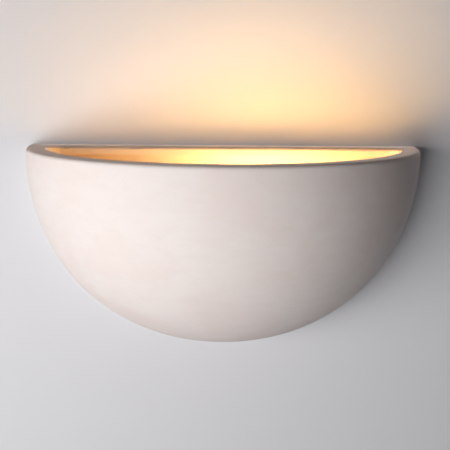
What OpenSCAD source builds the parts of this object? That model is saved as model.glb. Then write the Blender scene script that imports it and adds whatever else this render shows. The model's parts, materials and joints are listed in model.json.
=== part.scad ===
// Half-bowl uplighter for a wall: a cast plaster shade that hangs on a steel plate, which carries a sideways
// E27 lampholder. Millimetres. +Z is up and the wall is the plane y = 0, with the light on its -Y side.
// The origin lies midway between the two wall fixing slots of the plate.

/* [Shade] */
// Radius of the half bowl in plan, which is half its width and its reach from the wall
bowl_r = 150; // [148:1:160]
// Height of the bowl from its lowest point to the rim
bowl_h = 150; // [147:1:160]
// Fullness of the bowl's outline: 2 is a circle, and more is squarer
fullness = 2.12; // [2:0.02:2.3]
// Thickness of the bowl at the rim
bowl_wall = 15; // [11:0.5:15]
// Thickness of the flat back
back_wall = 15; // [12:0.5:16]
// Height of the rim above the wall fixing slots
rim_z = 38; // [36:1:42]
// Radius of the rim's outer edge
outer_lip_r = 3; // [1:0.5:4]
// Radius of the rim's inner edge
inner_lip_r = 3; // [1:0.5:4]
// Radius in the corner where the inside of the bowl meets the back
corner_r = 12; // [8:1:14]

/* [Hanging] */
// Place of the studs between the window's side (0) and the corner of the hollow (1)
stud_share = 0.61; // [0.55:0.01:0.7]
// Radius of the studs (M5)
stud_r = 2.5; // [2:0.5:3]
// Bare length of the studs beyond the tightened nuts
stud_spare = 5.5; // [5:0.5:8]
// How far the shade lifts to come off the nuts
lift = 14; // [13:0.5:14]
// Radius of the keyholes' wide end
keyhole_r = 11; // [10.5:0.5:12]
// Clearance round a stud in the narrow end of its keyhole
keyhole_play = 0.7; // [0.5:0.1:1]
// Gap left above the studs where the shade rests on them
rest_gap = 0.3; // [0.1:0.1:0.4]
// Radius of the nuts' grip
nut_r = 8.5; // [7:0.5:9]
// Length of the nuts' grip
nut_h = 7; // [6:0.5:9]
// Length of the nuts' collar
nut_collar_h = 2; // [1:0.5:3]
// Grooves round the nuts' grip
nut_grooves = 20; // [12:1:28]
// Radius of the washers under the nuts
washer_r = 9.5; // [9:0.5:10]
// Thickness of the washers
washer_t = 1.5; // [1:0.5:2]

/* [Window] */
// Width of the window in the shade's back, as a share of the hollow's width
window_share = 0.578; // [0.57:0.002:0.59]
// Upper edge of the window above the fixing slots
window_top = 12; // [10:1:13]
// Lower edge of the window below the fixing slots
window_drop = 60; // [59:1:64]
// Radius of the window's corners
window_corner_r = 8; // [4:1:12]

/* [Wall plate] */
// Length of the plate's ears beyond the studs
plate_ear = 12; // [10:0.5:13]
// Width of the plate's foot
plate_foot_w = 160; // [150:1:164]
// Upper edge of the plate above the fixing slots
plate_top = 12; // [11:1:14]
// Height at which the plate's sides turn inwards, below the fixing slots
plate_shoulder = 12; // [10:1:14]
// Lower edge of the plate below the fixing slots
plate_drop = 40; // [39:1:42]
// Sheet thickness of the plate
plate_t = 1.5; // [1:0.1:1.8]
// Depth of the recess in the shade that takes the plate
recess_d = 2; // [1.9:0.1:3]
// Clearance round the plate in its recess
recess_play = 1; // [0.5:0.1:1.5]
// Distance between the wall fixing slots
slot_spacing = 60.3; // [56:0.1:64]
// Radius of a wall fixing slot
slot_r = 2.25; // [2:0.05:2.75]
// Length of a wall fixing slot
slot_l = 12; // [8:1:14]
// Radius of the hole for the house cable
entry_r = 8; // [7:0.5:9]

/* [Lamp] */
// Distance of the lamp's axis from the wall, as a share of the hollow's radius
lamp_out_share = 0.393; // [0.386:0.001:0.4]
// Depth of the lamp's axis below the fixing slots, as a share of the hollow's radius
lamp_drop_share = 0.178; // [0.164:0.001:0.181]
// Diameter of the lamp's globe
lamp_d = 60; // [55:1:61]
// Overall length of the lamp
lamp_l = 105; // [100:1:106]
// Radius of the lamp's neck
neck_r = 12.6; // [12:0.1:12.6]
// Radius of the curve between the neck and the globe
flare_r = 40; // [34:1:50]
// Thickness of the lamp's glass
glass_t = 0.8; // [0.5:0.1:1.2]
// Radius of the lamp's cap (E27)
cap_r = 13; // [12.9:0.05:13.1]

/* [Lampholder] */
// Clearance between the bracket and the side of the shade's window
bracket_play = 3.5; // [2.5:0.5:4.5]
// Outer radius of the lampholder
holder_r = 19.5; // [19:0.5:21]
// Wall of the lampholder's moulded shells
holder_wall = 2; // [1.6:0.1:2.4]
// Length of the lampholder's rear shell
holder_cap_l = 27; // [26:0.5:28]
// Length of the lampholder's front shell
holder_skirt_l = 26; // [24:0.5:27]
// Radius of the threaded nipple (M10)
nipple_r = 5; // [5:0.5:6]
// Bore radius of the nipple
nipple_bore_r = 4.1; // [3.6:0.1:4.2]
// Sheet thickness of the bracket
bracket_t = 1.5; // [1:0.1:2]
// Height of the bracket
bracket_h = 24; // [22:1:26]

/* [Wiring] */
// Middle of the terminal block, to the right of the middle of the plate
block_x = 8; // [7:0.5:9]
// Depth of the terminal block's middle below the fixing slots
block_drop = 27; // [26.5:0.5:27.5]
// Distance between the terminal block's poles
block_pitch = 11; // [10.5:0.5:11.5]
// Radius of an inner wire with its insulation
wire_r = 1.1; // [0.9:0.05:1.2]
// Place of the earth screw, to the right of the middle of the plate
earth_x = 60; // [59:0.5:61]
// Depth of the earth screw below the fixing slots
earth_drop = 20; // [19.5:0.5:20.5]

/* [Hidden] */
$fn = 72;

// Cuts run this far past the faces that they open
past = 1;
// Steps of a profile: along the bowl's outline, and in each quarter of a small round
bowl_steps = 40;
round_steps = 6;
// Clearance of a hole round what goes through it
hole_play = 0.1;
// Clearance of a thread in its nut
thread_play = 0.03;

// Inside of the bowl: a sphere about the middle of the rim
cavity_r = min(bowl_r, bowl_h) - bowl_wall;
// Where the corner round of the cavity has its centre
corner_out = back_wall + corner_r;
corner_across = sqrt(pow(cavity_r - corner_r, 2) - pow(corner_out, 2));
corner_turn = atan2(corner_out, corner_across);

// Half the window's width, to the nearest millimetre
window_half = round(window_share * cavity_r);
// Where the washers would meet the corner of the hollow, and the studs' place, to half a millimetre
stud_limit = sqrt(pow(corner_across - washer_r, 2) - pow(rim_z, 2));
stud_x = round(2 * ((1 - stud_share) * (window_half + keyhole_r) + stud_share * stud_limit)) / 2;
plate_w = 2 * (stud_x + plate_ear);
stud_len = back_wall + washer_t + nut_collar_h + nut_h + stud_spare;
slot_in_shade_r = stud_r + keyhole_play;
slot_in_shade_z = stud_r + rest_gap - slot_in_shade_r;
nut_bore_r = stud_r + 0.05;
washer_bore_r = stud_r + 0.3;
nut_collar_r = 0.65 * nut_r;
nut_groove_r = 0.6;
nut_chamfer = 0.8;
clinch_r = stud_r + 1.4;

// Face of the bracket that the lampholder sits on, and the lamp's axis, to half a millimetre
holder_x = bracket_t + bracket_play - window_half;
lamp_out = round(2 * lamp_out_share * cavity_r) / 2;
lamp_z = -round(2 * lamp_drop_share * cavity_r) / 2;
// Stations along the lampholder's axis, from the bracket's inner face
boss_l = 7;
insert_flange_t = 2;
insert_l = 8;
insert_back = holder_cap_l - insert_l;
terminal_l = 5;
terminal_out = 9;
terminal_half = 2.5;
terminal_screw_r = 1.2;
mouth_l = 2;
shell_t = 0.6;
shell_play = 0.5;
contact_t = 0.5;
contact_rise = 2;
shell_r = cap_r + shell_play;
holder_inner_r = holder_r - holder_wall;
nipple_rear = 7.5;
// Half the distance between the two wires in the nipple
pair_half = 1.6;
nut_t = 3;
shakeproof_t = 0.8;
// Tip of the lamp, on the centre contact
tip_x = holder_x + holder_cap_l + contact_rise;

globe_r = lamp_d / 2;
globe_at = lamp_l - globe_r;
flare_at = globe_at - sqrt(pow(globe_r + flare_r, 2) - pow(neck_r + flare_r, 2));
flare_turn = acos((neck_r + flare_r) / (globe_r + flare_r));
cap_l = 27;
cap_t = 0.3;
neck_in_cap = 21;
cap_foot_r = 9;
insulator_l = 3.5;
tip_t = 1.6;
tip_r = 4.8;
stem_top = 48;
filament_r = 9;
filament_at = 66;

block_l = 17;
block_pole_w = 7;
block_base_t = 3;
block_body_t = 12;
block_top = 16;
tube_out = 8;
tube_r = 2.2;
tube_bore_r = wire_r + 0.3;
tube_l = 14;
grub_r = 1.4;
grub_z = 4.5;
block_screw_x = block_x + block_pitch / 2;

nipple_nut_r = nipple_r + 3.1;
shakeproof_r = nipple_r + 3.8;
rivet_r = 1.6;
rivet_in = 19;
rivet_x = holder_x + rivet_in;
rivet_z = 7;
earth_r = 2;
bracket_bend_r = 1.5;
bracket_foot = 27;

// Height of the wires where they pass under the bracket
wire_under = 6.5;
under_z = lamp_z - bracket_h / 2 - wire_under;
// Stations of the wires: from the middle of a pole down, beside the poles, and under the bracket's foot
wire_end = 3;
wire_leaves = 9;
wire_bends = 12.5;
wire_beside = 7;
wire_apart = 19;
foot_far = 28;
foot_near = 11;
// How far the live and the neutral wire swing out from the wall under the foot's two ends
live_swing = [5.8, 11.8];
neutral_swing = [3.1, 8.9];
// Where the wires spread inside the lampholder, from the bracket's inner face
spread_from = 9.5;
spread_to = 12;
in_terminal = insert_back - terminal_l / 2;
live_x = block_x - block_pitch;
tube_mid = plate_t + tube_out;

// Routes of the inner wires: [x, distance from the wall, z], along their middle
live_route = [
    [live_x, tube_mid, -block_drop - wire_end], [live_x, tube_mid, -block_drop - wire_leaves],
    [live_x - 1.5, tube_mid + 1, -block_drop - wire_bends],
    [live_x - wire_beside, tube_mid + 2.8, under_z + 0.5],
    [live_x - wire_apart, tube_mid + 3.8, under_z],
    [holder_x + foot_far, tube_mid + live_swing[0], under_z],
    [holder_x + foot_near, tube_mid + live_swing[1], under_z],
    [holder_x - 3, lamp_out - 20, under_z + 1.5],
    [holder_x - 13.5, lamp_out - 8, lamp_z - 10.5], [holder_x - 15.5, lamp_out - 0.5, lamp_z - 3.5],
    [holder_x - 13, lamp_out + pair_half, lamp_z - 0.3],
    [holder_x - 7, lamp_out + pair_half, lamp_z],
    [holder_x + boss_l, lamp_out + pair_half, lamp_z],
    [holder_x + spread_from, lamp_out + 5, lamp_z],
    [holder_x + spread_to, lamp_out + terminal_out - 0.3, lamp_z],
    [holder_x + insert_back - terminal_l, lamp_out + terminal_out, lamp_z],
    [holder_x + in_terminal, lamp_out + terminal_out, lamp_z]
];
neutral_route = [
    [block_x, tube_mid, -block_drop - wire_end], [block_x, tube_mid, -block_drop - wire_leaves],
    [block_x - 1.5, tube_mid + 0.1, -block_drop - wire_bends],
    [block_x - wire_beside, tube_mid + 0.2, under_z + 0.5],
    [live_x - wire_beside, tube_mid + 0.1, under_z],
    [live_x - wire_apart, tube_mid + 1.1, under_z],
    [holder_x + foot_far, tube_mid + neutral_swing[0], under_z],
    [holder_x + foot_near, tube_mid + neutral_swing[1], under_z],
    [holder_x - 1.5, lamp_out - 24.5, under_z + 1.5],
    [holder_x - 9.5, lamp_out - 14.2, lamp_z - 11], [holder_x - 13, lamp_out - 5, lamp_z - 4],
    [holder_x - 11.5, lamp_out - pair_half - 0.2, lamp_z - 0.6],
    [holder_x - 7, lamp_out - pair_half, lamp_z],
    [holder_x + boss_l, lamp_out - pair_half, lamp_z],
    [holder_x + spread_from, lamp_out - 5, lamp_z],
    [holder_x + spread_to, lamp_out - terminal_out + 0.3, lamp_z],
    [holder_x + insert_back - terminal_l, lamp_out - terminal_out, lamp_z],
    [holder_x + in_terminal, lamp_out - terminal_out, lamp_z]
];
tag_t = 0.8;
tag_barrel_out = plate_t + 1.9;
earth_pole_x = block_x + block_pitch;
// The earth wire's sag, its last bend and its end, below the earth screw
earth_sag = 22;
earth_bend = 18;
earth_in = 12.3;
earth_end = 7;
earth_route = [
    [earth_pole_x, tube_mid, -block_drop - wire_end], [earth_pole_x, tube_mid, -block_drop - wire_leaves],
    [earth_pole_x + 2, tube_mid - 0.3, -block_drop - wire_bends],
    [earth_pole_x + wire_beside, tube_mid - 1, -block_drop - wire_bends - 2],
    [earth_x - earth_sag, tag_barrel_out + 3.2, -earth_drop - earth_sag],
    [earth_x - earth_sag / 2, tag_barrel_out + 1.6, -earth_drop - earth_sag + 1],
    [earth_x - 2, tag_barrel_out + 0.4, -earth_drop - earth_bend],
    [earth_x, tag_barrel_out, -earth_drop - earth_in - 2],
    [earth_x, tag_barrel_out, -earth_drop - earth_in],
    [earth_x, tag_barrel_out, -earth_drop - earth_end]
];
wire_sides = 8;
wire_steps = 3;

// Points along a circle's arc, from one angle to another
function arc(centre, r, from, to, steps) =
    [for (i = [0:steps]) let (a = from + (to - from) * i / steps) centre + r * [cos(a), sin(a)]];

// Outline of a rounded rectangle between two corners
function rounded(low, high, r) = concat(
    arc([high[0] - r, high[1] - r], r, 0, 90, round_steps),
    arc([low[0] + r, high[1] - r], r, 90, 180, round_steps),
    arc([low[0] + r, low[1] + r], r, 180, 270, round_steps),
    arc([high[0] - r, low[1] + r], r, 270, 360, round_steps)
);

// Outline of the wall plate, grown by a clearance and drawn down by a travel
function plate_outline(grow, down) = [
    [-plate_w / 2 - grow, plate_top + grow],
    [plate_w / 2 + grow, plate_top + grow],
    [plate_w / 2 + grow, -plate_shoulder - grow - down],
    [plate_foot_w / 2 + grow, -plate_drop - grow - down],
    [-plate_foot_w / 2 - grow, -plate_drop - grow - down],
    [-plate_w / 2 - grow, -plate_shoulder - grow - down]
];

// Outline of the lamp's glass: neck, flare and globe, moved inwards by a thickness
function glass_line(inset) = concat(
    [[neck_r - inset, neck_in_cap]],
    [for (p = arc([0, 0], flare_r + inset, 180, 180 - flare_turn, 10))
        [p[0] + neck_r + flare_r, p[1] + flare_at]],
    [for (p = arc([0, 0], globe_r - inset, -flare_turn, 90, 22)) [max(p[0], 0), p[1] + globe_at]]
);

function unit(v) = v / norm(v);
function reversed(list) = [for (i = [len(list) - 1:-1:0]) list[i]];

// Smooth curve through a route's points
function curve_point(p, i, t) =
    let (a = p[max(i - 1, 0)], b = p[i], c = p[i + 1], d = p[min(i + 2, len(p) - 1)])
    0.5 * (2 * b + (c - a) * t + (2 * a - 5 * b + 4 * c - d) * t * t + (3 * b - a - 3 * c + d) * t * t * t);
function smooth(p, steps) = concat(
    [for (i = [0:len(p) - 2], k = [0:steps - 1]) curve_point(p, i, k / steps)],
    [p[len(p) - 1]]
);
function directions(p) = [for (i = [0:len(p) - 1]) unit(p[min(i + 1, len(p) - 1)] - p[max(i - 1, 0)])];
// A sideways vector for each ring, carried along the curve without twist
function carried(dirs, first) = [
    for (i = 0, n = first; i < len(dirs); i = i + 1, n = unit(n - (n * dirs[min(i, len(dirs) - 1)])
        * dirs[min(i, len(dirs) - 1)])) n
];

// Places a piece whose own +Z points out of the wall
module out_of_wall(x, z, out = 0) {
    translate([x, -out, z]) rotate([90, 0, 0]) children();
}

// Places a piece whose own +Z runs along the lamp, from left to right
module along_lamp(x) {
    translate([x, -lamp_out, lamp_z]) rotate([0, 90, 0]) children();
}

// A round tube swept along a route
module wire(route) {
    p = smooth([for (q = route) [q[0], -q[1], q[2]]], wire_steps);
    dirs = directions(p);
    sides = carried(dirs, unit(cross(dirs[0], [1, 0.2, 0.1])));
    rings = [
        for (i = [0:len(p) - 1], k = [0:wire_sides - 1])
            let (a = 360 * k / wire_sides, n = unit(sides[i] - (sides[i] * dirs[i]) * dirs[i]))
            p[i] + wire_r * (cos(a) * n + sin(a) * cross(dirs[i], n))
    ];
    last = (len(p) - 1) * wire_sides;
    polyhedron(
        points = rings,
        faces = concat(
            [[for (k = [0:wire_sides - 1]) k]],
            [for (i = [0:len(p) - 2], k = [0:wire_sides - 1])
                let (j = i * wire_sides, n = (k + 1) % wire_sides)
                [j + k, j + wire_sides + k, j + wire_sides + n, j + n]],
            [[for (k = [wire_sides - 1:-1:0]) last + k]]
        )
    );
}

// Outside of the half bowl, with the rounded outer edge of the rim
module bowl_outside() {
    outline = concat(
        [[0, 0]],
        [for (p = arc([bowl_r - outer_lip_r, -outer_lip_r], outer_lip_r, 90, 0, round_steps)) p],
        [for (i = [1:bowl_steps - 1]) let (a = 90 * i / bowl_steps,
            p = [bowl_r * pow(cos(a), 2 / fullness), -bowl_h * pow(sin(a), 2 / fullness)])
            if (p[1] < -outer_lip_r - past) p],
        [[0, -bowl_h]]
    );
    translate([0, 0, rim_z]) rotate([0, 0, 180]) rotate_extrude(angle = 180) polygon(outline);
}

// Hollow of the bowl, with a round corner all along the flat back
module bowl_inside() {
    outline = concat(
        [[0, back_wall]],
        arc([corner_across, corner_out], corner_r, -90, corner_turn, round_steps),
        [for (i = [1:bowl_steps / 2]) let (a = corner_turn + (90 - corner_turn) * i / (bowl_steps / 2))
            cavity_r * [max(cos(a), 0), sin(a)]]
    );
    out_of_wall(0, rim_z) rotate_extrude() polygon(outline);
}

// Section of the cut that rounds the rim's inner edge, at a distance from the axis that it turns about.
// From the end of its round it runs on straight into the hollow.
module lip_section(at) {
    turn = 165;
    end = inner_lip_r * [1 + cos(turn), sin(turn) - 1];
    translate([at, 0]) polygon(concat(
        [[-past, past], [inner_lip_r, past]],
        arc([inner_lip_r, -inner_lip_r], inner_lip_r, 90, turn, round_steps - 1),
        [[-past, end[1] + (past + end[0]) / tan(turn)]]
    ));
}

// Ring of that section, kept within a flat outline
module lip_ring(at, outline) {
    intersection() {
        rotate_extrude() lip_section(at);
        translate([0, 0, -bowl_h / 2]) linear_extrude(bowl_h) polygon(outline);
    }
}

module lip_cut() {
    corner = [corner_across, -corner_out];
    translate([0, 0, rim_z]) {
        lip_ring(cavity_r, [[0, 0], 2 * corner, [0, -4 * bowl_r], [-2 * corner[0], 2 * corner[1]]]);
        for (side = [0, 1]) mirror([side, 0, 0]) translate([corner[0], corner[1], 0])
            lip_ring(corner_r, [[0, 0], [0, bowl_r], [bowl_r, bowl_r], 2 * corner]);
        translate([-corner_across, -back_wall, 0]) rotate([90, 0, 90])
            linear_extrude(2 * corner_across) lip_section(0);
    }
}

module keyhole(x) {
    depth = back_wall + corner_r / 2 + past;
    out_of_wall(x, 0, -past) {
        translate([0, slot_in_shade_z, 0]) cylinder(r = slot_in_shade_r, h = depth);
        translate([-slot_in_shade_r, -lift, 0]) cube([2 * slot_in_shade_r, lift + slot_in_shade_z, depth]);
        translate([0, -lift, 0]) cylinder(r = keyhole_r, h = depth);
    }
}

module shade() {
    color("#efe6df") difference() {
        bowl_outside();
        bowl_inside();
        lip_cut();
        out_of_wall(0, 0, -past) linear_extrude(recess_d + past) polygon(plate_outline(recess_play, lift));
        out_of_wall(0, 0, -past) linear_extrude(back_wall + 2 * past)
            polygon(rounded([-window_half, -window_drop], [window_half, window_top], window_corner_r));
        keyhole(-stud_x);
        keyhole(stud_x);
    }
}

module wall_plate() {
    color("#b9bcc0") difference() {
        out_of_wall(0, 0) linear_extrude(plate_t) polygon(plate_outline(0, 0));
        for (side = [-1, 1]) {
            out_of_wall(side * slot_spacing / 2, 0, -past) {
                for (end = [-1, 1]) translate([end * (slot_l / 2 - slot_r), 0, 0])
                    cylinder(r = slot_r, h = plate_t + 2 * past);
                translate([slot_r - slot_l / 2, -slot_r, 0])
                    cube([slot_l - 2 * slot_r, 2 * slot_r, plate_t + 2 * past]);
            }
            out_of_wall(side * stud_x, 0, -past) cylinder(r = clinch_r, h = plate_t + 2 * past);
            out_of_wall(rivet_x, lamp_z + side * rivet_z, -past)
                cylinder(r = rivet_r, h = plate_t + 2 * past);
        }
        out_of_wall(0, 0, -past) cylinder(r = entry_r, h = plate_t + 2 * past);
        out_of_wall(earth_x, -earth_drop, -past) cylinder(r = earth_r, h = plate_t + 2 * past);
        out_of_wall(block_screw_x, -block_drop, -past) cylinder(r = grub_r, h = plate_t + 2 * past);
    }
}

module shade_studs() {
    color("#c9ccd0") for (side = [-1, 1]) out_of_wall(side * stud_x, 0) {
        cylinder(r = clinch_r, h = plate_t);
        cylinder(r = stud_r, h = stud_len - nut_chamfer);
        translate([0, 0, stud_len - nut_chamfer])
            cylinder(r1 = stud_r, r2 = stud_r - nut_chamfer, h = nut_chamfer);
    }
}

module nut_washer(x) {
    out_of_wall(x, 0, back_wall) difference() {
        cylinder(r = washer_r, h = washer_t);
        translate([0, 0, -past]) cylinder(r = washer_bore_r, h = washer_t + 2 * past);
    }
}

module left_nut_washer() {
    color("#8c4a38") nut_washer(-stud_x);
}

module right_nut_washer() {
    color("#8c4a38") nut_washer(stud_x);
}

// Knurled nut: a collar on the washer, then the grooved grip
module thumb_nut(x) {
    grip_top = nut_collar_h + nut_h;
    out_of_wall(x, 0, back_wall + washer_t) difference() {
        rotate_extrude() polygon([
            [nut_bore_r, 0], [nut_collar_r, 0], [nut_collar_r, nut_collar_h],
            [nut_r - nut_chamfer, nut_collar_h], [nut_r, nut_collar_h + nut_chamfer],
            [nut_r, grip_top - nut_chamfer], [nut_r - nut_chamfer, grip_top], [nut_bore_r, grip_top]
        ]);
        for (k = [0:nut_grooves - 1]) rotate([0, 0, 360 * k / nut_grooves])
            translate([nut_r, 0, nut_collar_h - past])
            cylinder(r = nut_groove_r, h = nut_h + 2 * past, $fn = 16);
    }
}

module left_thumb_nut() {
    color("#c8a964") thumb_nut(-stud_x);
}

module right_thumb_nut() {
    color("#c8a964") thumb_nut(stud_x);
}

// Angle with its foot on the plate and a round-ended arm across the lamp's axis
module holder_bracket() {
    arm_end = lamp_out + bracket_h / 2;
    inner = plate_t + bracket_t + bracket_bend_r;
    profile = concat(
        [[bracket_foot, plate_t], [bracket_foot, plate_t + bracket_t]],
        arc([bracket_bend_r, inner], bracket_bend_r, 270, 180, round_steps),
        [[0, arm_end], [-bracket_t, arm_end]],
        arc([bracket_bend_r, inner], bracket_bend_r + bracket_t, 180, 270, round_steps)
    );
    side_view = concat(
        [[0, -bracket_h / 2]],
        arc([lamp_out, 0], bracket_h / 2, -90, 90, 2 * round_steps),
        [[0, bracket_h / 2]]
    );
    color("#b9bcc0") difference() {
        intersection() {
            translate([holder_x, 0, lamp_z - bracket_h / 2]) mirror([0, 1, 0])
                linear_extrude(bracket_h) polygon(profile);
            translate([holder_x - bracket_t - past, 0, lamp_z]) rotate([0, 0, -90]) rotate([90, 0, 0])
                translate([0, 0, -bracket_foot - bracket_t - 2 * past])
                linear_extrude(bracket_foot + bracket_t + 2 * past) polygon(side_view);
        }
        along_lamp(holder_x - bracket_t - past) cylinder(r = nipple_r + hole_play, h = bracket_t + 2 * past);
        for (side = [-1, 1]) out_of_wall(rivet_x, lamp_z + side * rivet_z, -past)
            cylinder(r = rivet_r, h = plate_t + bracket_t + 2 * past);
    }
}

module bracket_rivets() {
    head_r = 3;
    head_h = 1.2;
    color("#c9ccd0") for (side = [-1, 1]) out_of_wall(rivet_x, lamp_z + side * rivet_z) rotate_extrude()
        polygon(concat(
            [[0, 0], [rivet_r, 0], [rivet_r, plate_t + bracket_t]],
            [for (p = arc([0, 0], 1, 0, 90, round_steps))
                [head_r * max(p[0], 0), plate_t + bracket_t + head_h * p[1]]]
        ));
}

// Ring along the lamp's axis
module ring(from, to, outer, inner) {
    along_lamp(from) difference() {
        cylinder(r = outer, h = to - from);
        translate([0, 0, -past]) cylinder(r = inner, h = to - from + 2 * past);
    }
}

module threaded_nipple() {
    color("#c8a964") ring(holder_x - nipple_rear, holder_x + boss_l, nipple_r, nipple_bore_r);
}

module nipple_nut() {
    at = holder_x - bracket_t - shakeproof_t - nut_t;
    color("#c8a964") along_lamp(at) difference() {
        cylinder(r = nipple_nut_r, h = nut_t, $fn = 6);
        translate([0, 0, -past]) cylinder(r = nipple_r + thread_play, h = nut_t + 2 * past);
    }
}

module shakeproof_washer() {
    teeth = 10;
    notch_r = 0.8;
    at = holder_x - bracket_t - shakeproof_t;
    color("#9a9da1") along_lamp(at) difference() {
        cylinder(r = shakeproof_r, h = shakeproof_t);
        translate([0, 0, -past]) cylinder(r = nipple_r + 4 * hole_play, h = shakeproof_t + 2 * past);
        for (k = [0:teeth - 1]) rotate([0, 0, 360 * k / teeth]) translate([shakeproof_r, 0, -past])
            cylinder(r = notch_r, h = shakeproof_t + 2 * past, $fn = 16);
    }
}

// Domed rear shell, with the threaded boss for the nipple
module holder_cap() {
    dome_r = 12;
    rim_t = 1.4;
    inner_dome_r = dome_r - holder_wall - 4 * hole_play;
    boss_r = nipple_r + holder_wall;
    flange_at = holder_cap_l - insert_flange_t;
    color("#f2efe9") along_lamp(holder_x) rotate_extrude() polygon(concat(
        [[nipple_r, 0]],
        arc([holder_r - dome_r, dome_r], dome_r, 270, 360, round_steps),
        [[holder_r, holder_cap_l], [holder_r - rim_t, holder_cap_l], [holder_r - rim_t, flange_at],
            [holder_r - dome_r + inner_dome_r, flange_at]],
        arc([holder_r - dome_r, dome_r], inner_dome_r, 360, 285, round_steps),
        [[boss_r, dome_r - inner_dome_r + 4 * hole_play], [boss_r, boss_l], [nipple_r, boss_l]]
    ));
}

// Moulded insert that carries the contacts, clamped by its flange between the two shells
module holder_insert() {
    body_r = 14.5;
    flange_r = holder_r - 1.5;
    color("#e8e4da") along_lamp(holder_x) difference() {
        union() {
            translate([0, 0, insert_back]) cylinder(r = body_r, h = insert_l - insert_flange_t);
            translate([0, 0, holder_cap_l - insert_flange_t]) cylinder(r = flange_r, h = insert_flange_t);
        }
        for (side = [-1, 1]) translate([0, side * terminal_out, insert_back - past])
            cylinder(r = grub_r, h = insert_l - insert_flange_t);
    }
}

// Front shell, with a ring bead and a narrower mouth
module holder_skirt() {
    from = holder_cap_l;
    to = holder_cap_l + holder_skirt_l;
    bead_at = from + 12;
    bead_h = 4;
    bead_r = holder_r + 1.5;
    bevel = 1;
    mouth_r = shell_r + 1;
    bore_r = holder_inner_r - 1;
    color("#f2efe9") along_lamp(holder_x) rotate_extrude() polygon([
        [bore_r, from], [holder_r, from], [holder_r, bead_at],
        [bead_r, bead_at + bevel], [bead_r, bead_at + bead_h - bevel], [holder_r, bead_at + bead_h],
        [holder_r - bevel / 2, to - bevel], [holder_r - 1.5 * bevel, to], [mouth_r, to],
        [mouth_r, to - mouth_l], [bore_r, to - mouth_l - bevel]
    ]);
}

// Thin shell that the lamp screws into, with its base on the insert
module screw_shell() {
    from = holder_cap_l;
    to = holder_cap_l + holder_skirt_l - mouth_l - shell_play;
    base_r = 9;
    color("#c2c5c9") along_lamp(holder_x) rotate_extrude() polygon([
        [base_r, from], [shell_r + shell_t, from], [shell_r + shell_t, to], [shell_r, to],
        [shell_r, from + shell_t], [base_r, from + shell_t]
    ]);
}

// Sprung tongue from the insert to the lamp's tip
module centre_contact() {
    width = 5;
    foot = 7.5;
    flat = 2;
    rise_l = 1.5;
    curl_drop = 0.8;
    color("#c8a964") along_lamp(holder_x + holder_cap_l) translate([0, width / 2, 0]) rotate([90, 0, 0])
        linear_extrude(width) polygon([
            [foot, 0], [foot, contact_t], [flat + rise_l, contact_t], [flat, contact_rise],
            [-flat, contact_rise], [-flat - 2 * contact_t, contact_rise - curl_drop],
            [-flat - 2 * contact_t, contact_rise - curl_drop - contact_t],
            [contact_t - flat, contact_rise - contact_t], [flat - contact_t, contact_rise - contact_t],
            [flat - contact_t + rise_l, 0]
        ]);
}

module each_holder_terminal() {
    for (side = [-1, 1]) along_lamp(holder_x + insert_back - terminal_l)
        translate([0, side * terminal_out, 0]) children();
}

module holder_terminals() {
    half = terminal_half;
    color("#c8a964") each_holder_terminal() difference() {
        translate([-half, -half, 0]) cube([2 * half, 2 * half, terminal_l]);
        translate([0, 0, -past]) cylinder(r = wire_r + hole_play, h = terminal_l + 2 * past);
        translate([0, 0, terminal_l / 2]) rotate([0, -90, 0])
            cylinder(r = terminal_screw_r, h = half + past, $fn = 24);
    }
}

module holder_terminal_screws() {
    head_h = 1.2;
    head_r = 2;
    slot_w = 0.5;
    tip = wire_r + hole_play;
    seat = terminal_half + hole_play;
    color("#c9ccd0") each_holder_terminal() translate([0, 0, terminal_l / 2]) rotate([0, -90, 0])
        difference() {
            union() {
                translate([0, 0, tip]) cylinder(r = terminal_screw_r, h = seat - tip, $fn = 24);
                translate([0, 0, seat]) cylinder(r = head_r, h = head_h, $fn = 24);
            }
            translate([-head_r - past, -slot_w / 2, seat + head_h / 2])
                cube([2 * head_r + 2 * past, slot_w, head_h]);
        }
}

module lamp_glass() {
    color("#fff4de") along_lamp(tip_x) rotate_extrude()
        polygon(concat(glass_line(0), reversed(glass_line(glass_t))));
}

// Drawn metal cap that closes in to the insulator
module lamp_cap() {
    cone_l = 4;
    color("#cfd2d6") along_lamp(tip_x) rotate_extrude() polygon([
        [cap_foot_r, insulator_l], [cap_r, insulator_l + cone_l], [cap_r, cap_l], [cap_r - cap_t, cap_l],
        [cap_r - cap_t, insulator_l + cone_l + cap_t / 3], [cap_foot_r - 1.3 * cap_t, insulator_l]
    ]);
}

module lamp_insulator() {
    glass_r = cap_foot_r - 0.4;
    sunk = 0.1;
    color("#23211f") along_lamp(tip_x) rotate_extrude() polygon([
        [0, tip_t], [tip_r, tip_t], [glass_r, insulator_l], [glass_r, insulator_l + sunk],
        [0, insulator_l + sunk]
    ]);
}

module lamp_tip_contact() {
    flat_r = 2.2;
    color("#a9abad") along_lamp(tip_x) rotate_extrude()
        polygon([[0, 0], [flat_r, 0], [tip_r - 0.6, 0.7], [tip_r, tip_t], [0, tip_t]]);
}

module lamp_stem() {
    foot_r = neck_r - glass_t - 0.05;
    foot_at = neck_in_cap + 2;
    color("#e7eef0") along_lamp(tip_x) rotate_extrude() polygon([
        [0, foot_at], [foot_r, foot_at], [foot_r, foot_at + 1.5], [6, foot_at + 6], [4, foot_at + 12],
        [3.4, stem_top], [0, stem_top]
    ]);
}

// Two lead wires that open towards the ends of the filament
module lamp_supports() {
    lead_r = 0.35;
    foot = 2.4;
    end_gap = 0.15;
    rise = filament_at - stem_top;
    lean = atan2(filament_r - foot, rise);
    color("#9a9da1") for (side = [-1, 1]) along_lamp(tip_x) translate([0, side * foot, stem_top + end_gap])
        rotate([-side * lean, 0, 0])
        cylinder(r = lead_r, h = norm([filament_r - foot, rise]) - 2 * end_gap, $fn = 24);
}

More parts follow.
